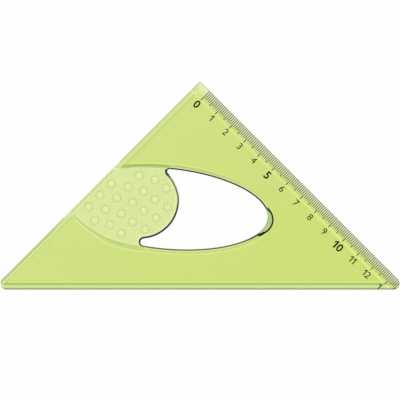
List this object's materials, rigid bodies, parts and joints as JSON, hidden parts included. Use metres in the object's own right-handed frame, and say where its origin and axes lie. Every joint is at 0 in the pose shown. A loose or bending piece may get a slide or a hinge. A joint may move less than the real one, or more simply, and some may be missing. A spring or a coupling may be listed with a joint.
{
  "type": "drafting triangle",
  "caption": "Clear right-angled drafting triangle with equal legs, a bevelled leg printed with a centimetre scale, a finger window and a dotted grip pad.",
  "frame": {"origin": "under the middle of the plate's box, on the underside that lies on the paper", "axes": "+X along the hypotenuse, +Y towards the right-angle corner, +Z out of the printed face"},
  "size_m": [0.1994, 0.1038, 0.0021],
  "materials": {
    "clear_green": "clear, polished",
    "pale_grip": "clear, satin",
    "ink": "printed ink"
  },
  "bodies": {
    "root": {"triangle_plate": "clear_green", "grip_pad": "pale_grip", "centimetre_marks": "ink", "half_centimetre_marks": "ink", "millimetre_marks": "ink"}
  },
  "joints": []
}
